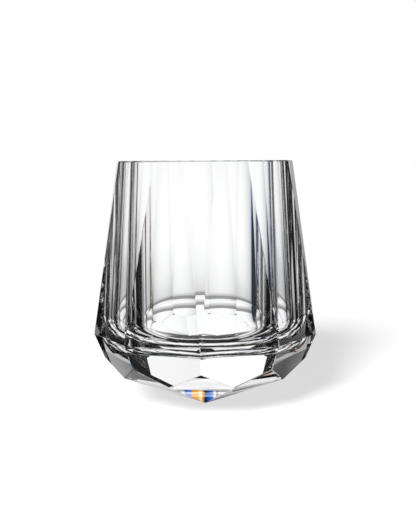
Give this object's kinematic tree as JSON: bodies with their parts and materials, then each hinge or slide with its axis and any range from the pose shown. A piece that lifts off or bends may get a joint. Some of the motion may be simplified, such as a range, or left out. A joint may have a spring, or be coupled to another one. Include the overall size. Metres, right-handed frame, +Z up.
{
  "type": "rocking whisky glass",
  "caption": "Clear cut-crystal whisky tumbler with a facetted wall, a wide belt and a pointed facetted base that lets it rock and roll on a table.",
  "frame": {"origin": "centre of the small polished flat at the tip of the base, with the glass upright", "axes": "+Z up along the glass's axis to the rim, -Y towards the belt corner that faces the viewer"},
  "size_m": [0.0898, 0.0884, 0.1],
  "materials": {
    "crystal": "polished clear crystal"
  },
  "bodies": {
    "root": {"crystal_tumbler": "crystal"}
  },
  "joints": []
}
